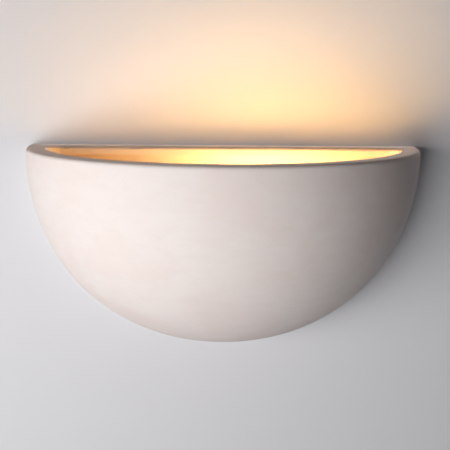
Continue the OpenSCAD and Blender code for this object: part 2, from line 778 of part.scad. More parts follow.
module lamp_filament() {
    color("#ffb45a") along_lamp(tip_x) translate([0, 0, filament_at]) rotate([90, 0, 90])
        rotate_extrude(angle = 180) translate([filament_r, 0]) circle(r = 0.3, $fn = 24);
}

// Places something at the middle of each pole of the terminal block
module each_pole() {
    for (k = [-1:1]) out_of_wall(block_x + k * block_pitch, -block_drop, plate_t) children();
}

module terminal_block() {
    tower_r = 3.2;
    screw_seat_r = 2.7;
    color("#f4f4f0") difference() {
        union() {
            out_of_wall(block_x, -block_drop, plate_t)
                translate([-block_pitch - block_pole_w / 2, -block_l / 2, 0])
                cube([2 * block_pitch + block_pole_w, block_l, block_base_t]);
            each_pole() {
                translate([-block_pole_w / 2, -block_l / 2, 0]) cube([block_pole_w, block_l, block_body_t]);
                for (side = [-1, 1]) translate([0, side * grub_z, 0]) cylinder(r = tower_r, h = block_top);
            }
        }
        each_pole() {
            translate([0, block_l / 2 + past, tube_out]) rotate([90, 0, 0])
                cylinder(r = tube_r + hole_play / 2, h = block_l + 2 * past);
            for (side = [-1, 1]) translate([0, side * grub_z, tube_out])
                cylinder(r = grub_r + 2 * hole_play, h = block_top);
        }
        out_of_wall(block_screw_x, -block_drop, plate_t) {
            translate([0, 0, -past]) cylinder(r = grub_r + 2 * hole_play, h = block_base_t + 2 * past);
            translate([0, 0, block_base_t]) cylinder(r = screw_seat_r, h = block_top);
        }
    }
}

module terminal_tubes() {
    color("#c8a964") each_pole() difference() {
        translate([0, tube_l / 2, tube_out]) rotate([90, 0, 0]) cylinder(r = tube_r, h = tube_l);
        translate([0, tube_l / 2 + past, tube_out]) rotate([90, 0, 0])
            cylinder(r = tube_bore_r, h = tube_l + 2 * past);
        for (side = [-1, 1]) translate([0, side * grub_z, tube_out])
            cylinder(r = grub_r + thread_play, h = tube_r + past);
    }
}

// Slotted screws whose tips press on the wires
module terminal_screws() {
    from = tube_out + wire_r + hole_play;
    length = 5;
    slot_w = 0.5;
    slot_d = 0.8;
    color("#c9ccd0") each_pole() for (side = [-1, 1]) translate([0, side * grub_z, from]) difference() {
        cylinder(r = grub_r, h = length, $fn = 24);
        translate([-grub_r - past, -slot_w / 2, length - slot_d]) cube([2 * grub_r + 2 * past, slot_w, past]);
    }
}

module block_screw() {
    head_r = 2.5;
    head_h = 1.6;
    slot_w = 0.6;
    color("#c9ccd0") out_of_wall(block_screw_x, -block_drop) difference() {
        union() {
            cylinder(r = grub_r, h = plate_t + block_base_t);
            translate([0, 0, plate_t + block_base_t]) cylinder(r = head_r, h = head_h);
        }
        translate([-head_r - past, -slot_w / 2, plate_t + block_base_t + head_h / 2])
            cube([2 * head_r + 2 * past, slot_w, head_h]);
    }
}

module live_wire() {
    color("#6b3d22") wire(live_route);
}

module neutral_wire() {
    color("#2f64b0") wire(neutral_route);
}

module earth_wire() {
    color("#5d9a34") wire(earth_route);
}

module earth_screw() {
    head_r = 3.8;
    head_h = 2.2;
    seat = plate_t + tag_t;
    cross_l = 4.4;
    cross_w = 0.9;
    color("#c8a964") out_of_wall(earth_x, -earth_drop) difference() {
        union() {
            cylinder(r = earth_r, h = seat);
            translate([0, 0, seat]) cylinder(r = head_r, h = head_h);
        }
        for (turn = [0, 90]) rotate([0, 0, turn]) translate([-cross_l / 2, -cross_w / 2, seat + head_h / 2])
            cube([cross_l, cross_w, head_h]);
    }
}

// Ring terminal: an eye under the earth screw and a barrel round the end of the wire
module earth_tag() {
    eye_r = 4.4;
    neck_w = 3;
    barrel_r = tag_barrel_out - plate_t;
    barrel_from = 6;
    barrel_l = 6;
    color("#d4d6d8") out_of_wall(earth_x, -earth_drop, plate_t) difference() {
        union() {
            cylinder(r = eye_r, h = tag_t);
            translate([-neck_w / 2, -barrel_from - past, 0]) cube([neck_w, barrel_from + past, tag_t]);
            translate([0, -barrel_from, barrel_r]) rotate([90, 0, 0]) cylinder(r = barrel_r, h = barrel_l);
        }
        translate([0, 0, -past]) cylinder(r = earth_r, h = tag_t + 2 * past);
        translate([0, -barrel_from + past, barrel_r]) rotate([90, 0, 0])
            cylinder(r = wire_r + hole_play / 2, h = barrel_l + 2 * past);
    }
}

// Soft bush that snaps into the plate's cable hole
module entry_bush() {
    flange_r = entry_r + 2;
    bore_r = 5;
    lip_t = 2;
    color("#3a3a3c") out_of_wall(0, 0) rotate_extrude() polygon([
        [bore_r, 0], [entry_r, 0], [entry_r, plate_t], [flange_r, plate_t], [flange_r - 0.5, plate_t + lip_t],
        [bore_r, plate_t + lip_t]
    ]);
}

shade();
wall_plate();
shade_studs();
left_nut_washer();
right_nut_washer();
left_thumb_nut();
right_thumb_nut();
holder_bracket();
bracket_rivets();
threaded_nipple();
nipple_nut();
shakeproof_washer();
holder_cap();
holder_insert();
holder_skirt();
screw_shell();
centre_contact();
holder_terminals();
holder_terminal_screws();
lamp_glass();
lamp_cap();
lamp_insulator();
lamp_tip_contact();
lamp_stem();
lamp_supports();
lamp_filament();
terminal_block();
terminal_tubes();
terminal_screws();
block_screw();
live_wire();
neutral_wire();
earth_wire();
earth_screw();
earth_tag();
entry_bush();
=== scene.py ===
import json
import math

import bmesh
import bpy
from bpy.props import FloatProperty, FloatVectorProperty, IntProperty, PointerProperty
from mathutils import Matrix, Vector


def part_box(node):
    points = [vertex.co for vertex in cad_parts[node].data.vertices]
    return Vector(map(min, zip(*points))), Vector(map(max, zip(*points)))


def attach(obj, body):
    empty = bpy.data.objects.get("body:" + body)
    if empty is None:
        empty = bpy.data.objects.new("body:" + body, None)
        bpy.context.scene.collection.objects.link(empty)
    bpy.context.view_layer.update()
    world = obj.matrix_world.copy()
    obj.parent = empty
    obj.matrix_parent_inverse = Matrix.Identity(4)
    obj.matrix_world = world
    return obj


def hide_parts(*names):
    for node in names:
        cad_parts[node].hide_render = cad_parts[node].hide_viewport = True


bl_info = {
    "name": "Half-bowl wall uplighter",
    "version": (1, 0, 0),
    "blender": (4, 5, 0),
    "location": "View3D > Sidebar > Uplighter",
    "description": "Plaster half bowl with its lampholder, lamp, wiring and wall plate",
    "category": "Object",
}

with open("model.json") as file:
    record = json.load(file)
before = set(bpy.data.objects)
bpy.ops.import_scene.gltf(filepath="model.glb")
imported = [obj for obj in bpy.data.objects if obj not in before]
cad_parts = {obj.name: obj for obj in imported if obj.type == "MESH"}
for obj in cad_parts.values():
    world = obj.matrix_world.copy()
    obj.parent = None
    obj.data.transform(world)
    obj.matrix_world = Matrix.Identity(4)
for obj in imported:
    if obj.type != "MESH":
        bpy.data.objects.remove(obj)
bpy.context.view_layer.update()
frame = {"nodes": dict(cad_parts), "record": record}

MM = 0.001
WELD = 1e-6

# The bowl's hollow in metres: its radius, the thickness of the back, the round of the rim's inner edge,
# and the middle of the pool of lamp light that is painted on it
HOLLOW_R = 0.135
BACK_WALL = 0.015
LIP_R = 0.003
PAINTED_GLOW_AT = (0.028, -0.053, -0.024)

BODY_OF = {
    node: body for body, nodes in frame["record"]["behaviour"]["bodies"].items() for node in nodes
}

# Middle lines of the inner wires in millimetres, from the terminal block on to their other ends
LIVE_ROUTE = (
    (-3, -9.5, -30), (-3, -9.5, -36), (-4.5, -10.5, -39.5), (-10, -12.3, -42),
    (-22, -13.3, -42.5), (-45, -15.3, -42.5), (-62, -21.3, -42.5), (-76, -33, -41),
    (-86.5, -45, -34.5), (-88.5, -52.5, -27.5), (-86, -54.6, -24.3), (-80, -54.6, -24),
    (-66, -54.6, -24), (-63.5, -58, -24), (-61, -61.7, -24), (-59, -62, -24),
    (-56.5, -62, -24),
)
NEUTRAL_ROUTE = (
    (8, -9.5, -30), (8, -9.5, -36), (6.5, -9.6, -39.5), (1, -9.7, -42),
    (-10, -9.6, -42.5), (-22, -10.6, -42.5), (-45, -12.6, -42.5), (-62, -18.4, -42.5),
    (-74.5, -28.5, -41), (-82.5, -38.8, -35), (-86, -48, -28), (-84.5, -51.2, -24.6),
    (-80, -51.4, -24), (-66, -51.4, -24), (-63.5, -48, -24), (-61, -44.3, -24),
    (-59, -44, -24), (-56.5, -44, -24),
)
EARTH_ROUTE = (
    (19, -9.5, -30), (19, -9.5, -36), (21, -9.2, -39.5), (26, -8.5, -41.5),
    (38, -6.6, -42), (49, -5, -41), (58, -3.8, -38), (60, -3.4, -34.3),
    (60, -3.4, -32.3), (60, -3.4, -27),
)


def span(node):
    """Lowest corner, highest corner and middle of a node."""
    low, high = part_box(node)
    return low, high, (low + high) / 2


def length_of(node):
    """Length of a node along the lamp's axis, in millimetres."""
    low, high, _ = span(node)
    return (high.x - low.x) / MM


# ---------------------------------------------------------------- finishes


class Signal:
    """A shader socket that takes Python's arithmetic."""

    def __init__(self, finish, socket):
        self.finish = finish
        self.socket = socket

    def _math(self, operation, *values):
        return self.finish.add("ShaderNodeMath", {"operation": operation}, dict(enumerate(values)))

    def __add__(self, other):
        return self._math("ADD", self, other)

    def __rsub__(self, other):
        return self._math("SUBTRACT", other, self)

    def __mul__(self, other):
        return self._math("MULTIPLY", self, other)

    __radd__ = __add__
    __rmul__ = __mul__

    def sine(self):
        return self._math("SINE", self)

    def length(self):
        """Length of a vector."""
        return self.finish.add("ShaderNodeVectorMath", {"operation": "LENGTH"}, {0: self}, "Value")

    def part(self, index):
        """One coordinate of a vector."""
        return self.finish.add("ShaderNodeSeparateXYZ", {}, {0: self}, index)


class Finish:
    """A material under construction on one Principled shader."""

    def __init__(self, name, **constants):
        self.material = bpy.data.materials.new(name)
        self.material.use_nodes = True
        self.tree = self.material.node_tree
        self.shader = self.tree.nodes["Principled BSDF"]
        for socket, value in constants.items():
            self.shader.inputs[socket.replace("_", " ")].default_value = value

    def add(self, kind, settings, sockets, output=0):
        """Any node, by its type, settings, socket values or links, and the output that is meant."""
        node = self.tree.nodes.new(kind)
        for name, value in settings.items():
            setattr(node, name, value)
        for name, value in sockets.items():
            self.feed(node.inputs[name], value)
        return Signal(self, node.outputs[output])

    def feed(self, socket, value):
        if isinstance(value, Signal):
            self.tree.links.new(value.socket, socket)
        else:
            socket.default_value = value

    def where(self, stretch=(1, 1, 1), shift=(0, 0, 0)):
        """Object coordinates, stretched and shifted."""
        place = self.add("ShaderNodeTexCoord", {}, {}, "Object")
        return self.add("ShaderNodeMapping", {}, {"Vector": place, "Location": shift, "Scale": stretch})

    def away_from(self, point):
        """Distance from a point, in metres."""
        return self.where(shift=[-value for value in point]).length()

    def noise(self, grain, detail=3.0, rough=0.5, warp=0.0, at=None):
        """Noise from 0 to 1 whose patches are about grain across, in metres."""
        sockets = {"Vector": at or self.where(), "Scale": 1 / grain, "Detail": detail}
        sockets.update({"Roughness": rough, "Distortion": warp})
        return self.add("ShaderNodeTexNoise", {}, sockets)

    def cells(self, grain):
        """Distance from the middles of cells about grain across, in metres."""
        sockets = {"Vector": self.where(), "Scale": 1 / grain}
        return self.add("ShaderNodeTexVoronoi", {"feature": "F1"}, sockets)

    def bands(self, pitch, direction, warp):
        """Waves of the given pitch along one coordinate, from a texture whose own pitch is 0.314."""
        settings = {"wave_type": "BANDS", "bands_direction": direction, "wave_profile": "SIN"}
        sockets = {"Vector": self.where(), "Scale": 0.314 / pitch, "Distortion": warp}
        return self.add("ShaderNodeTexWave", settings, sockets, "Fac")

    def step(self, value, low, high):
        """Smooth mask that goes from 0 at low to 1 at high."""
        return self.add(
            "ShaderNodeMapRange",
            {"interpolation_type": "SMOOTHSTEP"},
            {"Value": value, "From Min": low, "From Max": high},
        )

    def mix(self, factor, first, second):
        """Colour between two colours."""
        rgba = [value if isinstance(value, Signal) else (*value, 1) for value in (first, second)]
        sockets = {0: factor, 6: rgba[0], 7: rgba[1]}
        return self.add("ShaderNodeMix", {"data_type": "RGBA"}, sockets, 2)

    def set(self, socket, value):
        self.feed(self.shader.inputs[socket], value)

    def relief(self, height, depth, below=None):
        """Bump of the given depth in metres, on top of another one."""
        sockets = {"Height": height, "Distance": depth, "Strength": 1.0}
        if below is not None:
            sockets["Normal"] = below
        return self.add("ShaderNodeBump", {}, sockets)


def plaster_finish():
    """Matt cast plaster: clouded, wiped, sanded, with pores painted darker as shade; painted lamp glow
    and shade in the hollow, paler near the lamp, and painted shade on the rim's top.
    """
    look = bpy.context.scene.uplighter_plaster
    made = Finish("cast_plaster", Specular_IOR_Level=0.28)
    cloud = made.noise(look.cloud_size, 4, 0.55, 0.6)
    veil = made.noise(look.cloud_size * 0.28, 3, 0.6)
    sanding = made.noise(0.0035, 4, 0.65)
    wiped = made.noise(0.0055, 4, 0.65, 0.3, made.where((0.3, 0.3, 1)))
    dust = made.step(made.noise(0.0009, 2, 0.7), 0.58, 0.75)
    pit = 1 - made.step(made.cells(0.0019) + made.noise(0.011, 2) * 0.5, 0.26, 0.36)
    hollow, rim, painted_lamp_pool = plaster_zones(made)
    blush = made.step(cloud * 0.7 + veil * 0.3, 0.40, 0.62)
    outside = made.mix(blush, look.tint_cool, look.tint_warm)
    outside = made.mix(made.step(wiped, 0.38, 0.68) * 0.22, outside, (0.80, 0.71, 0.66))
    outside = made.mix(dust * 0.12, outside, (0.76, 0.69, 0.65))
    # Painted light: the hollow is paler close to the lamp, and darker and more orange away from it, as
    # painted glow and shade
    inside = made.mix(painted_lamp_pool, look.tint_glow_shade, look.tint_painted_light)
    inside = made.mix(cloud * 0.10, inside, (0.45, 0.30, 0.20))
    tint = made.mix(hollow, outside, inside)
    # Painted shade: the rim's top, which faces up away from the lights, is greyer and warmer
    tint = made.mix(rim * (0.85 + cloud * 0.15), tint, look.tint_rim_shade)
    # Pores are painted darker, as painted shade in them
    made.set("Base Color", made.mix(pit * 0.35, tint, (0.62, 0.54, 0.50)))
    made.set("Roughness", 0.80 + sanding * 0.14)
    swell = made.relief(wiped, 0.00006, made.relief(made.noise(0.022, 2), 0.00022))
    sanded = made.relief(sanding, 0.00005, swell)
    made.set("Normal", made.relief(pit, -0.00008, sanded))
    return made.material


def plaster_zones(made):
    """Masks of the bowl's hollow, of the rim's top where shade is painted, and of the pool of lamp light
    painted in the hollow close to the lamp.
    """
    top = span("shade")[1].z
    here = made.where()
    height, out = here.part("Z"), here.part("Y")
    hollow = made.step(made.away_from((0, 0, top)), HOLLOW_R + 0.0025, HOLLOW_R + 0.0005)
    hollow *= made.step(out, -BACK_WALL + 0.0015, -BACK_WALL + 0.0002)
    hollow *= made.step(height, top - LIP_R - 0.0022, top - LIP_R - 0.0042)
    # Top of the rim, where shade is painted
    rim = made.step(height, top - 0.0016, top - 0.0003)
    # Pool of lamp light painted round the lamp's middle
    painted_lamp_pool = made.step(made.away_from(PAINTED_GLOW_AT), 0.152, 0.066)
    return hollow, rim, painted_lamp_pool


def zinc_finish(name, light, dark, grain, gold=0.0):
    """Zinc-plated steel: crystal clouds, drawn lines and a faint yellow of the passivation."""
    made = Finish(name, Metallic=1.0)
    cloud = made.noise(0.006, 4, 0.6, 0.8)
    lines = made.noise(0.0007, 2, 0.6, 0.0, made.where(grain))
    shade = made.mix(cloud, dark, light)
    worn = made.step(made.noise(0.014, 4, 0.7), 0.52, 0.70)
    shade = made.mix(worn * (0.35 + gold), shade, (0.62, 0.60, 0.52))
    made.set("Base Color", made.mix(lines * 0.18, shade, (0.36, 0.37, 0.38)))
    made.set("Roughness", 0.27 + cloud * 0.16 + lines * 0.10)
    made.set("Normal", made.relief(lines, 0.000012, made.relief(cloud, 0.00003)))
    return made.material


def brass_finish():
    """Brass: fine turning lines, with browner patches where it was touched."""
    made = Finish("turned_brass", Metallic=1.0)
    touch = made.noise(0.005, 4, 0.65, 0.4)
    turning = made.noise(0.0004, 2, 0.5, 0.0, made.where((1, 6, 6)))
    shade = made.mix(touch, (0.80, 0.58, 0.26), (0.66, 0.44, 0.18))
    tarnish = made.step(made.noise(0.0024, 4, 0.7), 0.56, 0.74)
    made.set("Base Color", made.mix(tarnish * 0.4, shade, (0.38, 0.25, 0.12)))
    made.set("Roughness", 0.22 + touch * 0.15 + turning * 0.08)
    made.set("Normal", made.relief(turning, 0.00001))
    return made.material


def moulding_finish():
    """White thermoplastic of the lampholder: slight orange peel, warmed with age."""
    made = Finish("white_moulding_gloss", IOR=1.49, Coat_Roughness=0.12)
    age = made.noise(0.012, 3, 0.5, 0.3)
    peel = made.noise(0.0011, 2, 0.5)
    made.set("Base Color", made.mix(age, (0.86, 0.84, 0.79), (0.82, 0.79, 0.71)))
    made.set("Roughness", 0.30 + peel * 0.12 + age * 0.05)
    made.set("Coat Weight", 0.18 + age * 0.12)
    made.set("Normal", made.relief(peel, 0.00001))
    return made.material


def steatite_finish():
    """Pressed steatite: dry, with a fine grain and dark specks."""
    made = Finish("pressed_steatite", Specular_IOR_Level=0.35)
    grain = made.noise(0.0006, 4, 0.7)
    specks = made.step(made.cells(0.0021), 0.10, 0.02)
    base = made.mix(made.noise(0.007, 3), (0.76, 0.70, 0.60), (0.83, 0.78, 0.70))
    made.set("Base Color", made.mix(specks * 0.6, base, (0.33, 0.28, 0.23)))
    made.set("Roughness", 0.58 + grain * 0.2)
    made.set("Normal", made.relief(grain, 0.00003))
    return made.material


def nylon_finish():
    """Natural nylon of the terminal block: milky, with flow marks."""
    made = Finish("natural_nylon", Subsurface_Weight=0.35, Subsurface_Scale=0.002, IOR=1.53)
    made.shader.inputs["Subsurface Radius"].default_value = (1.0, 0.9, 0.75)
    flow = made.noise(0.004, 3, 0.5, 1.2, made.where((1, 1, 3)))
    made.set("Base Color", made.mix(flow, (0.80, 0.79, 0.72), (0.88, 0.87, 0.82)))
    made.set("Roughness", 0.30 + flow * 0.16)
    made.set("Normal", made.relief(made.noise(0.0009, 2), 0.00001))
    return made.material


def fibre_finish():
    """Vulcanised fibre: laid sheets seen at the edge, felted faces."""
    made = Finish("vulcanised_fibre", Specular_IOR_Level=0.3)
    felt = made.noise(0.0008, 5, 0.7, 0.5, made.where((1, 0.3, 1)))
    sheets = made.bands(0.0004, "Y", 1.0)
    base = made.mix(felt, (0.30, 0.095, 0.055), (0.44, 0.17, 0.10))
    made.set("Base Color", made.mix(sheets * 0.25, base, (0.20, 0.07, 0.045)))
    made.set("Roughness", 0.62 + felt * 0.2)
    made.set("Normal", made.relief(felt, 0.00004, made.relief(sheets, 0.00001)))
    return made.material


def opal_finish():
    """Lit opal glass: brightest above and towards the wall, with a faint cloud in its flashing."""
    look = bpy.context.scene.uplighter_lamp
    low, _, middle = span("lamp_glass")
    made = Finish("lit_opal_glass", IOR=1.5, Coat_Roughness=0.04, Emission_Strength=look.strength)
    along = made.where(shift=(-low.x, 0, 0)).part("X")
    across = made.where(shift=(0, -middle.y, -middle.z))
    lean = across.part("Z") * 0.85 + across.part("Y") * 0.5
    rise = made.step(along, 0.004, 0.040) * made.step(lean, -0.026, 0.012)
    cloud = made.noise(0.018, 3, 0.5)
    made.set("Base Color", made.mix(cloud, (0.92, 0.86, 0.76), (0.95, 0.90, 0.82)))
    glow = made.mix(rise, [part * 0.16 for part in look.glow], look.glow)
    made.set("Emission Color", made.mix(cloud * 0.12, glow, (1.0, 0.62, 0.34)))
    made.set("Roughness", 0.16 + cloud * 0.10)
    made.set("Coat Weight", 0.4 + cloud * 0.1)
    made.set("Normal", made.relief(made.noise(0.009, 2), 0.00003))
    return made.material


def glass_finish(name, tone, clearness):
    """Pressed glass: a tint, seeds and waves."""
    made = Finish(name, IOR=1.5, Transmission_Weight=clearness)
    wave = made.noise(0.003, 2, 0.5, 0.4)
    seeds = made.step(made.cells(0.0013), 0.16, 0.06)
    made.set("Base Color", made.mix(wave, tone, [part * 0.86 for part in tone]))
    made.set("Roughness", 0.06 + wave * 0.05 + seeds * 0.1)
    made.set("Normal", made.relief(wave, 0.00004, made.relief(seeds, 0.00002)))
    return made.material


def cap_finish():
    """Nickelled lamp cap: bright rolled metal with heat tints and handling marks."""
    made = Finish("nickelled_cap", Metallic=1.0)
    heat = made.noise(0.007, 3, 0.6, 0.5)
    rub = made.step(made.noise(0.0011, 5, 0.75, 0.3, made.where((0.25, 1, 1))), 0.50, 0.66)
    shade = made.mix(heat, (0.74, 0.73, 0.70), (0.66, 0.62, 0.55))
    made.set("Base Color", made.mix(rub * 0.35, shade, (0.45, 0.43, 0.40)))
    made.set("Roughness", 0.18 + heat * 0.12 + rub * 0.14)
    made.set("Normal", made.relief(rub, 0.000008))
    return made.material


def solder_finish():
    """Domed solder: dull, dimpled, with brown flux round it."""
    made = Finish("solder", Metallic=0.9)
    dimple = made.noise(0.0016, 3, 0.6)
    flux = made.step(made.noise(0.003, 3, 0.7), 0.55, 0.7)
    made.set("Base Color", made.mix(flux * 0.4, (0.56, 0.56, 0.56), (0.30, 0.21, 0.12)))
    made.set("Roughness", 0.32 + dimple * 0.25)
    made.set("Normal", made.relief(dimple, 0.00010))
    return made.material


def hot_wire_finish():
    """Tungsten at work: glowing, with its colour varied a little by noise."""
    made = Finish("hot_tungsten", Metallic=0.6, Emission_Strength=20.0)
    heat = made.noise(0.0015, 2)
    made.set("Base Color", made.mix(heat, (0.50, 0.42, 0.34), (0.62, 0.54, 0.44)))
    made.set("Emission Color", made.mix(heat, (1.0, 0.62, 0.28), (1.0, 0.74, 0.42)))
    made.set("Roughness", 0.4 + heat * 0.2)
    return made.material


def sleeve_finish(name, tone, stripe=None):
    """Insulation: soft sheen, extrusion lines and an optional lengthwise stripe."""
    made = Finish(name, Specular_IOR_Level=0.45)
    lay = made.add("ShaderNodeUVMap", {"uv_map": "sleeve"}, {})
    along, round_it = lay.part("X"), lay.part("Y")
    unrolled = made.add("ShaderNodeCombineXYZ", {}, {"X": along * 0.2, "Y": round_it * 9.0, "Z": 0.0})
    drawn = made.noise(0.3, 2, 0.5, 0.0, unrolled)
    base = made.mix(drawn, tone, [part * 0.72 for part in tone])
    if stripe:
        wave = (round_it * math.tau).sine()
        base = made.mix(made.step(wave, 0.10, 0.24), base, stripe)
    smudge = made.step(made.noise(0.004, 4, 0.7), 0.55, 0.75)
    made.set("Base Color", made.mix(smudge * 0.3, base, [part * 0.5 + 0.05 for part in tone]))
    made.set("Roughness", 0.36 + drawn * 0.14 + smudge * 0.12)
    made.set("Normal", made.relief(drawn, 0.00001))
    return made.material


def copper_finish():
    """Stranded copper: twisted lines with painted shade between the strands, and a little oxide."""
    made = Finish("bare_copper", Metallic=1.0)
    lay = made.add("ShaderNodeUVMap", {"uv_map": "sleeve"}, {})
    twist = ((lay.part("Y") * 9.0 + lay.part("X") * 900.0) * math.tau).sine()
    strands = made.step(twist, -0.9, 0.7)
    oxide = made.noise(0.002, 4, 0.6)
    shade = made.mix(oxide, (0.86, 0.46, 0.30), (0.62, 0.29, 0.17))
    # The grooves between the strands are painted darker, as painted shade
    made.set("Base Color", made.mix(strands, (0.30, 0.12, 0.07), shade))
    made.set("Roughness", 0.25 + oxide * 0.2)
    made.set("Normal", made.relief(strands, 0.00008))
    return made.material


def rubber_finish():
    """Black rubber: bloom and a fine moulded grain."""
    made = Finish("black_rubber_bush", Specular_IOR_Level=0.35)
    grain = made.noise(0.0005, 3, 0.6)
    bloom = made.step(made.noise(0.005, 4, 0.7), 0.50, 0.72)
    made.set("Base Color", made.mix(bloom * 0.5, (0.016, 0.016, 0.017), (0.07, 0.07, 0.072)))
    made.set("Roughness", 0.52 + grain * 0.2 + bloom * 0.1)
    made.set("Normal", made.relief(grain, 0.00003))
    return made.material


# ---------------------------------------------------------------- shaping


def skin_of(node):
    """Copy of a node's mesh as one welded skin."""
    shape = bmesh.new()
    shape.from_mesh(frame["nodes"][node].data)
    bmesh.ops.remove_doubles(shape, verts=shape.verts, dist=WELD)
    return shape


def soften(shape, width, segments=2, above=40):
    """Makes flat faces whole again, and rounds every edge that is sharper than an angle in degrees."""
    bmesh.ops.dissolve_limit(
        shape, angle_limit=math.radians(0.5), use_dissolve_boundaries=False,
        verts=shape.verts, edges=shape.edges, delimit=set(),
    )
    sharp = [
        edge for edge in shape.edges
        if len(edge.link_faces) == 2 and edge.calc_face_angle(0) > math.radians(above)
    ]
    bmesh.ops.bevel(
        shape, geom=sharp, offset=width, offset_type="OFFSET", segments=segments, profile=0.5,
        affect="EDGES", clamp_overlap=True, material=-1, loop_slide=True,
    )
    return shape


def turned(outline, steps):
    """Closed outline of (radius, height) points in millimetres, turned round +Z in steps."""
    shape = bmesh.new()
    points = [shape.verts.new((radius * MM, 0, height * MM)) for radius, height in outline]
    edges = [shape.edges.new(pair) for pair in zip(points, points[1:] + points[:1])]
    bmesh.ops.spin(
        shape, geom=points + edges, cent=(0, 0, 0), axis=(0, 0, 1), dvec=(0, 0, 0),
        angle=math.tau, steps=steps, use_merge=True, use_duplicate=False,
    )
    bmesh.ops.remove_doubles(shape, verts=shape.verts, dist=WELD)
    bmesh.ops.recalc_face_normals(shape, faces=shape.faces)
    return shape


def wound_thread(root, crest, pitch, low, high, steps):
    """Rounded thread between two heights in millimetres, open at both ends, wound round +Z.

    It is wound from below the lower height in steps per turn, and then cut at both heights.
    """
    shape = bmesh.new()
    middle, swing, parts = (root + crest) / 2, (crest - root) / 2, 6
    start = low - pitch
    start -= start % 0.01
    outline = []
    for k in range(parts + 1):
        radius = middle - swing * math.cos(math.tau * k / parts)
        outline.append(shape.verts.new((radius * MM, 0, (start + pitch * k / parts) * MM)))
    edges = [shape.edges.new(pair) for pair in zip(outline, outline[1:])]
    turns = math.ceil((high - low) / pitch) + 2
    bmesh.ops.spin(
        shape, geom=outline + edges, cent=(0, 0, 0), axis=(0, 0, 1), dvec=(0, 0, pitch * MM / steps),
        angle=math.tau * turns, steps=steps * turns, use_merge=False, use_duplicate=False,
    )
    bmesh.ops.remove_doubles(shape, verts=shape.verts, dist=2 * WELD)
    for height, side in ((low, "clear_inner"), (high, "clear_outer")):
        bmesh.ops.bisect_plane(
            shape, geom=shape.verts[:] + shape.edges[:] + shape.faces[:], dist=1e-7,
            plane_co=(0, 0, height * MM), plane_no=(0, 0, 1), **{side: True},
        )
    bmesh.ops.recalc_face_normals(shape, faces=shape.faces)
    return shape


def open_ring(shape, height):
    """The open edges at a height in millimetres."""
    return [
        edge for edge in shape.edges
        if edge.is_boundary and all(abs(vert.co.z - height * MM) < WELD for vert in edge.verts)
    ]


def draw_on(shape, ring, *stations):
    """Carries an open ring of edges on through (radius, height) stations in millimetres."""
    for radius, height in stations:
        made = bmesh.ops.extrude_edge_only(shape, edges=ring)["geom"]
        fresh = [item for item in made if isinstance(item, bmesh.types.BMVert)]
        for vert in fresh:
            across = Vector((vert.co.x, vert.co.y, 0)).normalized() * (radius * MM)
            vert.co = (across.x, across.y, height * MM)
        known = set(fresh)
        ring = [edge for edge in shape.edges if edge.is_boundary and set(edge.verts) <= known]
    return ring


def aim(shape, origin, axis):
    """Lays a shape made along +Z along an axis, from an origin in metres."""
    turn = Vector((0, 0, 1)).rotation_difference(Vector(axis)).to_matrix().to_4x4()
    bmesh.ops.transform(shape, matrix=Matrix.Translation(origin) @ turn, verts=shape.verts)
    return shape


def rounded(route, steps=6):
    """Smooth curve through a route's points, in metres."""
    points = [Vector(point) * MM for point in route]
    line = []
    for k, (b, c) in enumerate(zip(points, points[1:])):
        a, d = points[max(k - 1, 0)], points[min(k + 2, len(points) - 1)]
        for t in (step / steps for step in range(steps)):
            bend, twist = 2 * a - 5 * b + 4 * c - d, 3 * b - a - 3 * c + d
            line.append(0.5 * (2 * b + (c - a) * t + bend * t**2 + twist * t**3))
    return line + [points[-1]]


def wire_stations(line, radius, core, bare):
    """Place, turn, radius and run of each ring of a wire; where its radius changes there are two."""
    length = sum((b - a).length for a, b in zip(line, line[1:]))
    run, stations, across, last = 0.0, [], Vector((0.3, 1, 0.2)), None
    for k, point in enumerate(line):
        run += (point - line[k - 1]).length if k else 0
        ahead = (line[min(k + 1, len(line) - 1)] - line[max(k - 1, 0)]).normalized()
        across = (across - ahead * across.dot(ahead)).normalized()
        turn = Matrix((across, ahead.cross(across), ahead)).transposed().to_4x4()
        thin = run < bare[0] or run > length - bare[1]
        if last is not None and thin != last:
            stations.append((point, turn, core if last else radius, run))
        stations.append((point, turn, core if thin else radius, run))
        last = thin
    return stations


def insulated_wire(route, radius, core, bare, sides=16):
    """Wire along a route, with its core bare over a length at each end.

    Its UV map "sleeve" holds the metres along it and the turns round it.
    """
    shape = bmesh.new()
    lay = shape.loops.layers.uv.new("sleeve")
    known, ring, before = {}, None, None
    for point, turn, wide, along in wire_stations(rounded(route), radius, core, bare):
        here = Matrix.Translation(point) @ turn @ Matrix.Diagonal((wide, wide, wide, 1))
        if ring is None:
            fresh = bmesh.ops.create_circle(
                shape, cap_ends=False, segments=sides, radius=1.0, matrix=here,
            )["verts"]
        else:
            grown = bmesh.ops.extrude_edge_only(shape, edges=ring)["geom"]
            fresh = [item for item in grown if isinstance(item, bmesh.types.BMVert)]
            bmesh.ops.transform(shape, matrix=here @ before.inverted(), verts=fresh)
        back = here.inverted()
        for vert in fresh:
            flat = back @ vert.co
            known[vert] = (along, math.atan2(flat.y, flat.x) / math.tau % 1, wide)
        chosen = set(fresh)
        ring = [edge for edge in shape.edges if set(edge.verts) <= chosen]
        before = here
    for face in shape.faces:
        rounds = [known[loop.vert][1] for loop in face.loops]
        wrap = max(rounds) - min(rounds) > 0.5
        for loop, value in zip(face.loops, rounds):
            loop[lay].uv = (known[loop.vert][0], value + 1 if wrap and value < 0.5 else value)
        face.material_index = int(min(known[loop.vert][2] for loop in face.loops) < radius)
    bmesh.ops.holes_fill(shape, edges=shape.edges, sides=0)
    for face in shape.faces:
        if len(face.verts) > 4:
            face.material_index = 1
    bmesh.ops.recalc_face_normals(shape, faces=shape.faces)
    return shape


